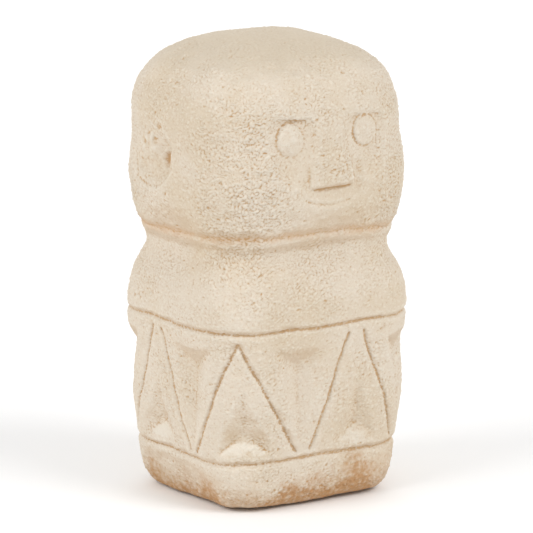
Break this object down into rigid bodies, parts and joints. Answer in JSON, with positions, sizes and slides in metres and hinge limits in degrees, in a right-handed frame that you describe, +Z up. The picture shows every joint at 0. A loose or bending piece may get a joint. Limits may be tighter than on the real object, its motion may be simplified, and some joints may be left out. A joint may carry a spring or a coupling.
{
  "type": "tiki figure",
  "caption": "Squat carved limestone figure with a big head, disc eyes, relief nose, carved ears and a skirt of incised triangles, on felt pads.",
  "frame": {"origin": "on the surface the figure stands on, under the middle of its footprint", "axes": "+Z up the figure, the face looks along -Y, +X to the figure's left hand"},
  "size_m": [0.1298, 0.1169, 0.2447],
  "materials": {
    "stone": "matte",
    "felt": "matte"
  },
  "bodies": {
    "root": {"stone_figure": "stone", "pad_front_left": "felt", "pad_front_right": "felt", "pad_back_left": "felt", "pad_back_right": "felt"}
  },
  "joints": []
}
